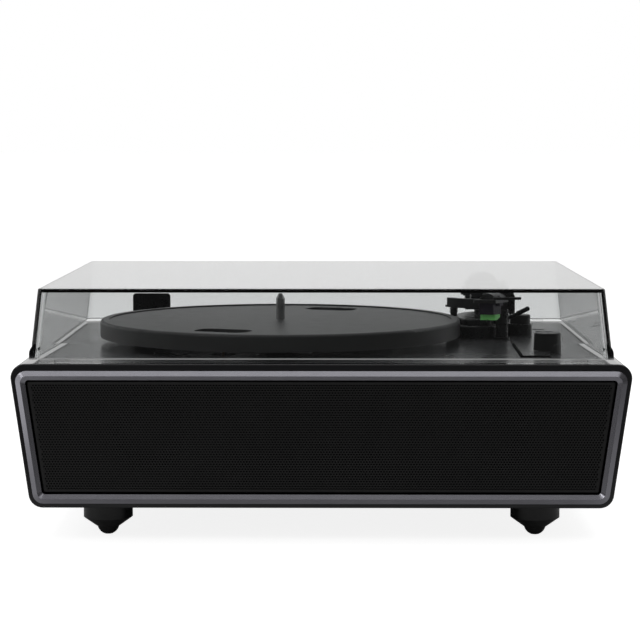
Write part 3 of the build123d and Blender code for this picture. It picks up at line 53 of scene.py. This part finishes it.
camera = bpy.data.objects.new("camera", bpy.data.cameras.new("camera"))
camera.data.sensor_width = sensor
camera.data.lens = focal_pixels / picture_pixels * sensor
camera.data.clip_start, camera.data.clip_end = 0.05, 60
camera.location = camera_place
camera.rotation_euler = (radians(90) - camera_down, 0, camera_left)
bpy.context.scene.collection.objects.link(camera)
bpy.context.scene.camera = camera
bpy.context.scene.view_settings.view_transform = "Standard"


# ---- Materials -------------------------------------------------------------------------------

def add(tree, kind, sockets=None, **settings):
    """A shader node. Each socket takes a number, a colour or another node's output."""
    made = tree.nodes.new("ShaderNode" + kind)
    for key, value in settings.items():
        setattr(made, key, value)
    for key, value in (sockets or {}).items():
        if isinstance(value, bpy.types.NodeSocket):
            tree.links.new(value, made.inputs[key])
        else:
            made.inputs[key].default_value = value
    return made


def calc(tree, operation, one, two):
    """The result of one sum or comparison of two numbers or sockets."""
    return add(tree, "Math", {0: one, 1: two}, operation=operation).outputs[0]


def grey(value, blue=1.0):
    """A grey with a little blue or brown in it."""
    return (value, value, value * blue, 1)


class Finish:
    """A material whose colour, roughness and bump come from its own nodes."""

    def __init__(self, name):
        self.material = bpy.data.materials.new(name)
        self.material.use_nodes = True
        self.tree = self.material.node_tree
        self.shader = self.tree.nodes["Principled BSDF"]
        self.place = self.add("TexCoord").outputs["Object"]
        self.normal = None

    def add(self, kind, sockets=None, **settings):
        return add(self.tree, kind, sockets, **settings)

    def noise(self, size, detail=3, stretch=(1, 1, 1)):
        """Cloudy noise whose features measure about size metres."""
        place = self.place
        if stretch != (1, 1, 1):
            place = self.add("Mapping", {"Vector": place, "Scale": stretch}).outputs["Vector"]
        return self.add("TexNoise", {"Vector": place, "Scale": 1 / size, "Detail": detail}).outputs["Fac"]

    def rings(self, centre, size):
        """Rings round an upright axis through centre, size metres apart."""
        middle = (-centre[0], -centre[1], 0)
        at = self.add("Mapping", {"Vector": self.place, "Location": middle}).outputs["Vector"]
        return self.add("TexWave", {"Vector": at, "Scale": 0.314 / size, "Distortion": 0.15, "Detail": 1},
                        wave_type="RINGS", rings_direction="Z").outputs["Fac"]

    def along(self, axis, low, high):
        """0 to 1 from low to high along one axis."""
        part = self.add("SeparateXYZ", {"Vector": self.place}).outputs["XYZ".index(axis)]
        return self.add("MapRange", {"Value": part, "From Min": low, "From Max": high}).outputs["Result"]

    def calc(self, operation, one, two):
        return calc(self.tree, operation, one, two)

    def ramp(self, factor, stops, step=False):
        made = self.add("ValToRGB", {"Fac": factor})
        made.color_ramp.interpolation = "CONSTANT" if step else "LINEAR"
        ends = made.color_ramp.elements
        while len(ends) < len(stops):
            ends.new(0.5)
        for end, (at, colour) in zip(ends, stops):
            end.position, end.color = at, colour
        return made.outputs["Color"]

    def colour(self, factor, dark, light):
        self.tree.links.new(self.ramp(factor, [(0.3, dark), (0.7, light)]), self.shader.inputs["Base Color"])
        return self

    def paint(self, socket):
        self.tree.links.new(socket, self.shader.inputs["Base Color"])
        return self

    def rough(self, factor, low, high):
        made = self.add("MapRange", {"Value": factor, "From Min": 0.3, "From Max": 0.7,
                                     "To Min": low, "To Max": high})
        self.tree.links.new(made.outputs["Result"], self.shader.inputs["Roughness"])
        return self

    def bump(self, height, depth, strength=1.0):
        """Relief of that depth in metres, over whatever relief there is already."""
        sockets = {"Height": height, "Distance": depth, "Strength": strength}
        if self.normal:
            sockets["Normal"] = self.normal
        self.normal = self.add("Bump", sockets).outputs["Normal"]
        self.tree.links.new(self.normal, self.shader.inputs["Normal"])
        return self

    def set(self, **values):
        for key, value in values.items():
            self.shader.inputs[key.replace("_", " ")].default_value = value
        return self

    def on(self, *names):
        """Puts the material on CAD nodes."""
        for name in names:
            mesh = nodes[name].data
            mesh.materials.clear()
            mesh.materials.append(self.material)
            for face in mesh.polygons:
                face.material_index = 0
        return self


def moulded(name, dark, light, low, high, grain=0.0007, depth=0.00002, cloud=0.03):
    """Plastic or paint: a faint cloud in its colour and gloss, and a fine grain."""
    made = Finish(name)
    return (made.colour(made.noise(cloud), dark, light)
            .rough(made.noise(cloud / 3), low, high).bump(made.noise(grain, 2), depth))


def metal(name, dark, light, low, high, stretch, grain=0.0005, depth=0.000006):
    """Metal drawn or brushed along the axis with the small stretch."""
    made = Finish(name)
    lines = made.noise(grain, 2, stretch)
    return (made.colour(made.noise(0.02), dark, light).rough(lines, low, high)
            .bump(lines, depth).set(Metallic=1.0))


# Cabinet
moulded("gloss_lacquer", grey(0.007, 1.1), grey(0.010, 1.1), 0.09, 0.11, 0.004, 0.0000002, 0.2).on(
    "cabinet_shell")
metal("satin_bezel", (0.34, 0.335, 0.37, 1), (0.36, 0.355, 0.39, 1), 0.22, 0.25, (0.05, 1, 1), 0.0005,
      0.000001).on("front_bezel")
grille_paint = moulded("grille_paint", grey(0.007), grey(0.010), 0.5, 0.62, 0.0004, 0.00003)
moulded("baffle_board", grey(0.003), grey(0.004), 0.9, 0.95, 0.001, 0.0001).set(Specular_IOR_Level=0.1).on(
    "speaker_baffle")
moulded("rear_plastic", grey(0.011), grey(0.016), 0.42, 0.55, 0.0006, 0.00005).on(
    "rear_panel", "power_switch_frame")
moulded("deck_paint", grey(0.024, 1.04), grey(0.028, 1.04), 0.24, 0.28, 0.0008, 0.0000002, 0.2).set(
    Specular_IOR_Level=0.8).on("deck_plate")

# Speakers
moulded("pressed_steel", grey(0.003), grey(0.004), 0.8, 0.9, 0.002, 0.00002).set(Specular_IOR_Level=0.1).on(
    "left_speaker_frame", "right_speaker_frame")
moulded("speaker_paper", grey(0.003), grey(0.004), 0.9, 0.95, 0.0012, 0.00015).set(Specular_IOR_Level=0.1).on(
    "left_speaker_cone", "right_speaker_cone")
metal("magnet_zinc", grey(0.30), grey(0.38), 0.35, 0.5, (1, 1, 1), 0.002).on(
    "left_speaker_magnet", "right_speaker_magnet")

# Feet
moulded("foot_gloss", grey(0.007), grey(0.010), 0.16, 0.24, 0.002, 0.00001).on(
    "front_left_foot", "front_right_foot", "rear_left_foot", "rear_right_foot")
moulded("foot_rubber", grey(0.012), grey(0.017), 0.7, 0.8, 0.0004, 0.00004).on("foot_tips")

# Platter, its drive and the spindle
spindle_low, spindle_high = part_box("spindle")
spindle_at = (spindle_low + spindle_high) / 2
platter = Finish("platter_coat")
platter.colour(platter.noise(0.04), grey(0.019), grey(0.022)).rough(platter.noise(0.01), 0.40, 0.44)
platter.bump(platter.rings(spindle_at, 0.0011), 0.000006).bump(platter.noise(0.0006, 2), 0.000004).set(
    Specular_IOR_Level=0.75).on("platter")
chrome = Finish("spindle_chrome")
turned = chrome.noise(0.0004, 2, (0.05, 0.05, 1))
chrome.colour(chrome.noise(0.006), grey(0.62), grey(0.70)).rough(turned, 0.10, 0.18)
chrome.bump(turned, 0.000003).set(Metallic=1.0).on("spindle", "pivot_screws")
moulded("bush_bronze", (0.30, 0.19, 0.09, 1), (0.38, 0.25, 0.12, 1), 0.3, 0.4, 0.0006, 0.00001).set(
    Metallic=1.0).on("bearing_bush")
moulded("pulley_brass", (0.10, 0.075, 0.04, 1), (0.12, 0.09, 0.05, 1), 0.3, 0.4, 0.0006, 0.000006).set(
    Metallic=1.0).on("motor_pulley")
moulded("belt_rubber", grey(0.010), grey(0.014), 0.6, 0.75, 0.0005, 0.00003).on("drive_belt")
metal("motor_can", grey(0.34), grey(0.42), 0.28, 0.4, (1, 1, 0.05), 0.0008).on("drive_motor")
metal("motor_plate", grey(0.26), grey(0.32), 0.4, 0.5, (0.1, 1, 1), 0.001).on("motor_bracket")

# Tonearm group
moulded("arm_plastic", grey(0.008), grey(0.012), 0.24, 0.34, 0.0006, 0.00002, 0.012).on(
    "arm_base", "arm_rest", "arm_clip", "pivot_post", "anti_skate_base", "hinge_bases", "hinge_leaves")
moulded("arm_paint", grey(0.022, 1.08), grey(0.030, 1.08), 0.20, 0.28, 0.0005, 0.00001, 0.012).on(
    "arm_barrel", "arm_tube", "gimbal_yoke")
moulded("head_plastic", grey(0.012), grey(0.018), 0.26, 0.36, 0.0005, 0.00002, 0.012).on("headshell")
metal("lift_metal", grey(0.05), grey(0.07), 0.22, 0.32, (1, 0.1, 1)).on("finger_lift", "cantilever")
metal("weight_metal", grey(0.07), grey(0.09), 0.24, 0.32, (1, 0.05, 1), 0.0004, 0.00001).on("counterweight")
moulded("cue_plastic", grey(0.010), grey(0.014), 0.28, 0.4, 0.0006, 0.00002, 0.01).on("cue_platform")
moulded("lever_metal", grey(0.045), grey(0.06), 0.2, 0.28, 0.0006, 0.00001, 0.01).set(
    Metallic=0.8).on("cue_lever")
moulded("cartridge", (0.013, 0.009, 0.020, 1), (0.022, 0.015, 0.032, 1), 0.40, 0.50, 0.0005, 0.00002,
        0.004).set(Specular_IOR_Level=0.3).on("cartridge_body")
moulded("stylus_green", (0.26, 0.90, 0.22, 1), (0.30, 0.94, 0.26, 1), 0.3, 0.42, 0.0006, 0.00002, 0.004).on(
    "stylus_holder")
leads_low, leads_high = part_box("cartridge_leads")
leads = Finish("lead_insulation")
leads.paint(leads.ramp(leads.along("X", leads_low.x, leads_high.x), [
    (0.0, (0.55, 0.55, 0.52, 1)), (0.25, (0.03, 0.08, 0.40, 1)),
    (0.5, (0.45, 0.03, 0.02, 1)), (0.75, (0.03, 0.28, 0.06, 1))], step=True))
leads.rough(leads.noise(0.002), 0.4, 0.55).bump(leads.noise(0.0008), 0.00002).on("cartridge_leads")


def dial(name, node, dark, light):
    """A small dial: plastic with fine rings round its own axis."""
    low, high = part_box(node)
    made = Finish(name)
    made.colour(made.noise(0.01), dark, light).rough(made.noise(0.003), 0.3, 0.4)
    return made.bump(made.rings((low + high) / 2, 0.0004), 0.00001).on(node)


dial("knob_plastic", "volume_knob", grey(0.011), grey(0.015))
dial("skate_plastic", "anti_skate_dial", grey(0.011), grey(0.015))
moulded("force_dial_plastic", grey(0.014), grey(0.019), 0.3, 0.42, 0.0005, 0.00002, 0.01).on("force_dial")

# Electronics, sockets and fasteners
moulded("amplifier_green", (0.012, 0.085, 0.035, 1), (0.02, 0.13, 0.05, 1), 0.3, 0.45, 0.003, 0.00004,
        0.006).on("amplifier_board")
moulded("control_can", grey(0.28), grey(0.36), 0.35, 0.5, 0.0008, 0.00001).set(Metallic=1.0).on(
    "volume_control")
moulded("socket_plastic", grey(0.010), grey(0.014), 0.35, 0.5, 0.0006, 0.00003).on("power_inlet")
moulded("rocker_plastic", grey(0.012), grey(0.018), 0.25, 0.38, 0.0008, 0.00002).on("power_rocker")
moulded("jack_nickel", grey(0.42), grey(0.50), 0.25, 0.35, 0.0005, 0.00001).set(Metallic=1.0).on(
    "line_out_jacks")
metal("screw_zinc", grey(0.08), grey(0.11), 0.3, 0.42, (1, 1, 1), 0.001).on(
    "rear_panel_screws", "motor_screws", "foot_screws", "cartridge_screws", "hinge_pins")
moulded("bumper_silicone", grey(0.85), grey(0.90), 0.02, 0.05, 0.0005, 0.000001).set(
    Transmission_Weight=1.0, IOR=1.41).on("lid_bumpers")

# Dust cover: smoke-tinted acrylic, which lets light through to the deck, with a painted highlight along its
# foot: a pale diffuse band that stands in for the lit lower edge
smoke_density = 82.0
# Height of the painted highlight band at the cover's foot, and how much pale white is mixed in there
painted_highlight_full, painted_highlight_end = 0.8 * mm, 1.1 * mm  # above the cover's foot
painted_highlight_share = 0.4
cover = Finish("cover_acrylic")
cover.rough(cover.noise(0.05), 0.0, 0.006)
cover.bump(cover.noise(0.12, 1), 0.000006)
cover.paint(cover.ramp(cover.noise(0.2, 1), [(0.3, (0.980, 0.985, 0.985, 1)),
                                             (0.7, (0.985, 0.992, 0.992, 1))]))
cover.set(Transmission_Weight=1.0, IOR=1.49)
path = cover.add("LightPath")
through = cover.calc("MAXIMUM", path.outputs["Is Shadow Ray"], path.outputs["Is Diffuse Ray"])
clear = cover.add("BsdfTransparent", {"Color": (0.96, 0.965, 0.965, 1)})
mixed = cover.add("MixShader", {0: through, 1: cover.shader.outputs["BSDF"], 2: clear.outputs["BSDF"]})
cover_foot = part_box("lid")[0].z
# Painted highlight: the lowest millimetre of the cover is mixed with pale diffuse white, standing in for the
# lit lower edge
painted_highlight_mask = cover.add("MapRange", {"Value": cover.along("Z", cover_foot + painted_highlight_end, cover_foot + painted_highlight_full),
                              "To Max": painted_highlight_share}).outputs["Result"]
painted_highlight_white = cover.add("BsdfDiffuse", {"Color": grey(0.8), "Roughness": 0.5})
cover_with_painted_highlight = cover.add("MixShader", {0: painted_highlight_mask, 1: mixed.outputs[0], 2: painted_highlight_white.outputs["BSDF"]})
cover.tree.links.new(cover_with_painted_highlight.outputs[0], cover.tree.nodes["Material Output"].inputs["Surface"])
smoke = cover.add("VolumeAbsorption", {"Color": (0.0, 0.02, 0.02, 1), "Density": smoke_density})
cover.tree.links.new(smoke.outputs[0], cover.tree.nodes["Material Output"].inputs["Volume"])
cover.on("lid")


# ---- Pieces ----------------------------------------------------------------------------------

def piece(name, mesh, finish, body, smooth=False):
    """Makes a mesh into a piece that rides on a body."""
    data = bpy.data.meshes.new(name)
    mesh.normal_update()
    mesh.to_mesh(data)
    mesh.free()
    if smooth:
        for face in data.polygons:
            face.use_smooth = True
    data.materials.append(finish.material)
    made = bpy.data.objects.new(name, data)
    bpy.context.scene.collection.objects.link(made)
    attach(made, body)
    return made


def hull(points):
    """The convex outline of points in a plane, anticlockwise."""
    points = sorted(set(points))
    sides = []
    for row in (points, points[::-1]):
        kept = []
        for p in row:
            while len(kept) > 1 and ((kept[-1][0] - kept[-2][0]) * (p[1] - kept[-2][1])
                                     - (kept[-1][1] - kept[-2][1]) * (p[0] - kept[-2][0])) <= 0:
                kept.pop()
            kept.append(p)
        sides += kept[:-1]
    return sides


def inset(outline, distance):
    """The outline moved in by distance, each corner along its bisector."""
    moved = []
    for before, here, after in zip(outline[-1:] + outline[:-1], outline, outline[1:] + outline[:1]):
        one = Vector((here[0] - before[0], here[1] - before[1])).normalized()
        two = Vector((after[0] - here[0], after[1] - here[1])).normalized()
        left_one, left_two = Vector((-one.y, one.x)), Vector((-two.y, two.x))
        across = (left_one + left_two).normalized()
        moved.append(tuple(Vector(here) + across * distance / max(across.dot(left_one), 0.5)))
    return moved


def holds(outline, point, margin):
    """Whether the point lies inside the outline by at least the margin."""
    for here, after in zip(outline, outline[1:] + outline[:1]):
        along = Vector((after[0] - here[0], after[1] - here[1])).normalized()
        if along.x * (point[1] - here[1]) - along.y * (point[0] - here[0]) < margin:
            return False
    return True


# Grille: a sheet with staggered holes and a rounded, turned-back edge
hole_pitch = 2.1 * mm
hole_share = 0.62  # of a cell's own width
grille_edge = 1.2 * mm
grille_border = 1.4 * mm
grille_sheet = 0.8 * mm
edge_steps = 4
grille_low, grille_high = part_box("speaker_grille")
grille_outline = hull([(round(v.co.x, 5), round(v.co.z, 5)) for v in nodes["speaker_grille"].data.vertices])


def grille_mesh():
    """The sheet's outer surface: a field of holes, a plain border and the turned-back edge."""
    mesh = bmesh.new()
    front = grille_low.y
    corners = {}

    def corner(x, z):
        key = (round(x * 1e6), round(z * 1e6))
        if key not in corners:
            corners[key] = mesh.verts.new((x, front, z))
        return corners[key]

    reach = hole_pitch / 2 / cos(pi / 6)
    turns = [(cos(pi / 6 + k * pi / 3), sin(pi / 6 + k * pi / 3)) for k in range(6)]
    rise = hole_pitch * cos(pi / 6)
    rows = int((grille_high.z - grille_low.z) / rise) + 2
    columns = int((grille_high.x - grille_low.x) / hole_pitch) + 2
    middle_z = (grille_low.z + grille_high.z) / 2
    for row in range(-rows // 2, rows // 2 + 1):
        for column in range(-columns // 2, columns // 2 + 1):
            x, z = (column + (row % 2) / 2) * hole_pitch, middle_z + row * rise
            if not holds(grille_outline, (x, z), grille_edge + grille_border):
                continue
            outer = [corner(x + reach * a, z + reach * b) for a, b in turns]
            inner = [mesh.verts.new((x + reach * hole_share * a, front, z + reach * hole_share * b))
                     for a, b in turns]
            for k in range(6):
                n = (k + 1) % 6
                mesh.faces.new((outer[k], outer[n], inner[n], inner[k]))
    hexes = set(corners.values())
    edge = [e for e in mesh.edges if e.is_boundary and e.verts[0] in hexes and e.verts[1] in hexes]
    loops = []
    for step in range(edge_steps + 1):
        angle = pi / 2 * step / edge_steps
        ring = inset(grille_outline, grille_edge * (1 - sin(angle)))
        loops.append([mesh.verts.new((x, front + grille_edge * (1 - cos(angle)), z)) for x, z in ring])
    loops.append([mesh.verts.new((x, grille_high.y, z)) for x, z in grille_outline])
    count = len(grille_outline)
    rim = [mesh.edges.new((loops[0][k], loops[0][(k + 1) % count])) for k in range(count)]
    for a, b in zip(loops, loops[1:]):
        for k in range(count):
            n = (k + 1) % count
            mesh.faces.new((a[k], a[n], b[n], b[k]))
    bmesh.ops.triangle_fill(mesh, edges=edge + rim, use_beauty=False, normal=(0, -1, 0))
    bmesh.ops.recalc_face_normals(mesh, faces=mesh.faces)
    return mesh


grille = piece("grille_sheet", grille_mesh(), grille_paint, "base")
thick = grille.modifiers.new("sheet", "SOLIDIFY")
thick.thickness = grille_sheet
thick.offset = -1
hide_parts("speaker_grille")

# Deck: a raised line round the volume control, and two short marks behind it, all near-black. The line's
# black is painted shade, standing in for the shadow gap along the edge of a raised plate
line_width = 2 * mm
line_height = 1.2 * mm
mark_height = 0.3 * mm
line_sink = 0.2 * mm  # into the deck
line_pixels = ((512.9, 344.7), (522, 357.1), (551, 357.1))
left_mark_pixels = ((532.4, 329.2), (543.6, 329.7))
right_mark_pixels = ((535.3, 331.4), (551.9, 331.4))
deck_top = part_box("deck_plate")[1].z
# Near-black finish: on the raised line this is painted shade along the plate's left and front edges; the two
# marks share it
mark = moulded("line_painted_shade_black", grey(0.002), grey(0.003), 0.8, 0.9, 0.0006, 0.00001).set(Specular_IOR_Level=0.1)


def strip(points, width, height):
    """A flat raised line through points in the deck's plane."""
    mesh = bmesh.new()
    rows = []
    for k, here in enumerate(points):
        before, after = points[max(k - 1, 0)], points[min(k + 1, len(points) - 1)]
        one = (Vector(here) - Vector(before)).normalized() if k else None
        two = (Vector(after) - Vector(here)).normalized() if k < len(points) - 1 else None
        sides = [Vector((-d.y, d.x)) for d in (one, two) if d]
        across = sum(sides, Vector((0, 0))).normalized()
        across *= width / 2 / across.dot(sides[0])
        rows.append([mesh.verts.new((here[0] + s * across.x, here[1] + s * across.y, z))
                     for s, z in ((-1, deck_top - line_sink), (-1, deck_top + height),
                                  (1, deck_top + height), (1, deck_top - line_sink))])
    for a, b in zip(rows, rows[1:]):
        for k in range(4):
            n = (k + 1) % 4
            mesh.faces.new((a[k], a[n], b[n], b[k]))
    mesh.faces.new(rows[0])
    mesh.faces.new(rows[-1][::-1])
    bmesh.ops.recalc_face_normals(mesh, faces=mesh.faces)
    return mesh


def deck_point(px, py):
    """The deck's point that the camera sees at a pixel of the 640 by 640 picture."""
    ray = Vector(((px - picture_pixels / 2) / focal_pixels, (picture_pixels / 2 - py) / focal_pixels, -1))
    ray = camera.rotation_euler.to_matrix() @ ray
    far = (deck_top - camera_place.z) / ray.z
    return (camera_place.x + ray.x * far, camera_place.y + ray.y * far)


for name, height, pixels in (("control_line", line_height, line_pixels),
                             ("control_mark_left", mark_height, left_mark_pixels),
                             ("control_mark_right", mark_height, right_mark_pixels)):
    piece(name, strip([deck_point(*p) for p in pixels], line_width, height), mark, "base")


# ---- Floor, light and backdrop ---------------------------------------------------------------

# The camera sees the floor and the world as white paper, straight or through the cover. In reflections
# the floor is dark in front of the part and bright behind it, and the world is a studio.
floor_reach = 30
paper_glow = 0.86
rear_glow = 0.3
floor_mesh = bmesh.new()
bmesh.ops.create_grid(floor_mesh, x_segments=2, y_segments=2, size=floor_reach)
floor_data = bpy.data.meshes.new("floor")
floor_mesh.to_mesh(floor_data)
floor_mesh.free()
floor_finish = Finish("floor_paper")
floor_finish.rough(floor_finish.noise(0.02), 0.85, 0.95)
floor_finish.bump(floor_finish.noise(0.002), 0.00003)
seen = floor_finish.add("LightPath")
paper = floor_finish.ramp(floor_finish.noise(0.4), [(0.3, grey(0.50)), (0.7, grey(0.52))])
near = floor_finish.ramp(floor_finish.along("Y", -0.55, -0.25), [(0.0, grey(0.10)), (1.0, grey(0.50))])
mirrored = floor_finish.add("Mix", {0: seen.outputs["Is Glossy Ray"], 6: paper, 7: near}, data_type="RGBA")
floor_finish.paint(mirrored.outputs[2])
clear_view = floor_finish.calc("MAXIMUM", seen.outputs["Is Camera Ray"], seen.outputs["Is Transmission Ray"])
first = floor_finish.calc("LESS_THAN", seen.outputs["Glossy Depth"], 0.5)
ahead = floor_finish.calc("MULTIPLY", clear_view, first)
rising = floor_finish.add("MapRange", {"Value": floor_finish.along("Y", 0.1, 0.6),
                                       "To Max": rear_glow}).outputs["Result"]
bounced = floor_finish.calc("GREATER_THAN", seen.outputs["Glossy Depth"], 0.5)
behind = floor_finish.calc("MULTIPLY", rising, bounced)
floor_glow = floor_finish.calc("MULTIPLY", floor_finish.calc("MAXIMUM", ahead, behind), paper_glow)
floor_finish.set(Emission_Color=(1, 1, 1, 1))
floor_finish.tree.links.new(floor_glow, floor_finish.shader.inputs["Emission Strength"])
floor_data.materials.append(floor_finish.material)
floor = bpy.data.objects.new("floor", floor_data)
bpy.context.scene.collection.objects.link(floor)


def softbox(name, place, size, power, aim=(0, 0, 0.1)):
    """A rectangular lamp that faces the part, seen only in its light and in reflections."""
    light = bpy.data.lights.new(name, "AREA")
    light.shape = "RECTANGLE"
    light.size, light.size_y = size
    light.energy = power
    holder = bpy.data.objects.new(name, light)
    holder.location = place
    holder.rotation_euler = (Vector(aim) - Vector(place)).to_track_quat("-Z", "Y").to_euler()
    holder.visible_camera = False
    holder.visible_transmission = False
    bpy.context.scene.collection.objects.link(holder)


softbox("overhead", (0, 0.35, 1.6), (1.8, 1.2), 12)
softbox("front_top", (0, -1.64, 1.47), (2.4, 0.55), 3.5, (0, -0.18, 0.11))
softbox("upper_left", (-1.5, -1.4, 1.3), (0.6, 0.8), 5)
softbox("left_card", (-0.5, -0.37, 0.1), (0.15, 0.3), 0.10, (-0.22, -0.18, 0.1))
softbox("right_side", (1.7, -0.5, 0.7), (0.6, 1.4), 1)
softbox("right_front", (1.1, -1.5, 0.3), (0.4, 0.8), 0.15)

backdrop_level = 1.0
ambient_level = 0.3
world = bpy.data.worlds.new("studio")
world.use_nodes = True
bpy.context.scene.world = world
tree = world.node_tree
sky = tree.nodes["Background"]
ray = add(tree, "LightPath")
way = add(tree, "SeparateXYZ", {"Vector": add(tree, "TexCoord").outputs["Generated"]})


def graded(axis, start, end, low, high):
    """A level from low to high, as the direction's part along the axis goes from start to end."""
    return add(tree, "MapRange", {"Value": way.outputs[axis], "From Min": start, "From Max": end,
                                  "To Min": low, "To Max": high}).outputs["Result"]


rear = graded("Y", -0.3, 0.45, 0.06, 0.9)
above = graded("Z", 0.78, 0.92, 0, 0.42)
left = graded("X", -0.9, -1, 0, 0.8)
studio = calc(tree, "MAXIMUM", calc(tree, "MAXIMUM", rear, above), left)
bounced = calc(tree, "GREATER_THAN", ray.outputs["Glossy Depth"], 0.5)
direct = add(tree, "Mix", {0: bounced, 2: backdrop_level, 3: studio})
level = add(tree, "Mix", {0: ray.outputs["Is Diffuse Ray"], 2: direct.outputs[0], 3: ambient_level})
tree.links.new(level.outputs[0], sky.inputs["Strength"])
sky.inputs["Color"].default_value = (1, 1, 1, 1)
